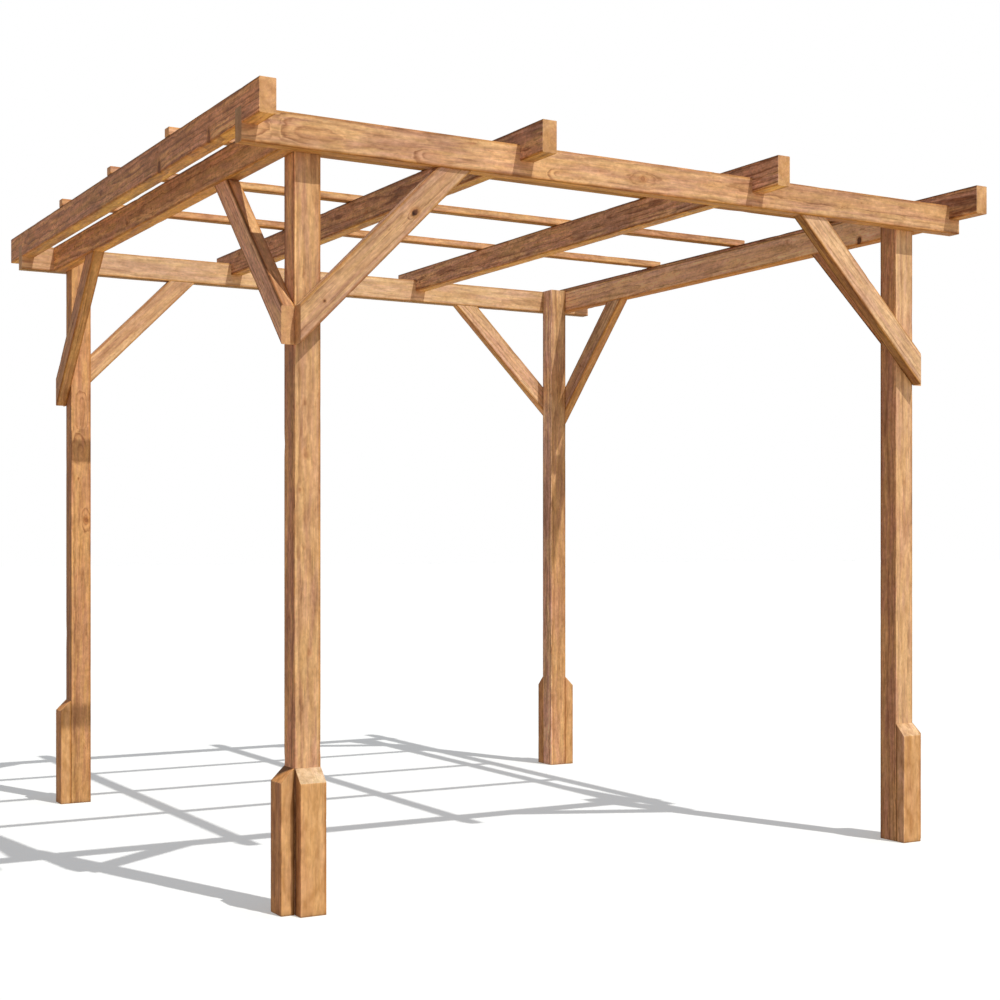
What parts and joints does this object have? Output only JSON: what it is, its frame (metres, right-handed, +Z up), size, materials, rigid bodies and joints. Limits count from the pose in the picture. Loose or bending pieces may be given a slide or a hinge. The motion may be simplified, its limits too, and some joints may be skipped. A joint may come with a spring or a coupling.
{
  "type": "wooden pergola",
  "caption": "Free-standing square wooden garden pergola: posts with bevelled foot boards and knee braces carry plates, side beams, notched rafters and thin roof battens.",
  "frame": {"origin": "on the ground at the middle of the plan, below the centre of the roof", "axes": "+X along the plates from left to right, +Y along the rafters from front to rear, +Z up"},
  "size_m": [3, 3.07, 2.582],
  "materials": {
    "posts": "planed, brown impregnated softwood, matte",
    "beams": "planed, brown impregnated softwood, matte",
    "rafters": "planed, brown impregnated softwood, matte",
    "braces": "planed, brown impregnated softwood, matte",
    "foot_boards": "planed, brown impregnated softwood, matte",
    "battens": "planed, brown impregnated softwood, matte"
  },
  "bodies": {
    "root": {"post_front_left": "posts", "brace_front_left": "braces", "brace_left_front": "braces", "foot_board_front_left": "foot_boards", "foot_board_left_front": "foot_boards", "post_rear_left": "posts", "brace_rear_left": "braces", "brace_left_rear": "braces", "foot_board_rear_left": "foot_boards", "foot_board_left_rear": "foot_boards", "post_front_right": "posts", "brace_front_right": "braces", "brace_right_front": "braces", "foot_board_front_right": "foot_boards", "foot_board_right_front": "foot_boards", "post_rear_right": "posts", "brace_rear_right": "braces", "brace_right_rear": "braces", "foot_board_rear_right": "foot_boards", "foot_board_right_rear": "foot_boards", "plate_front": "beams", "plate_rear": "beams", "side_beam_left": "beams", "side_beam_right": "beams", "rafter_1": "rafters", "rafter_2": "rafters", "rafter_3": "rafters", "rafter_4": "rafters", "batten_1": "battens", "batten_2": "battens", "batten_3": "battens"}
  },
  "joints": []
}
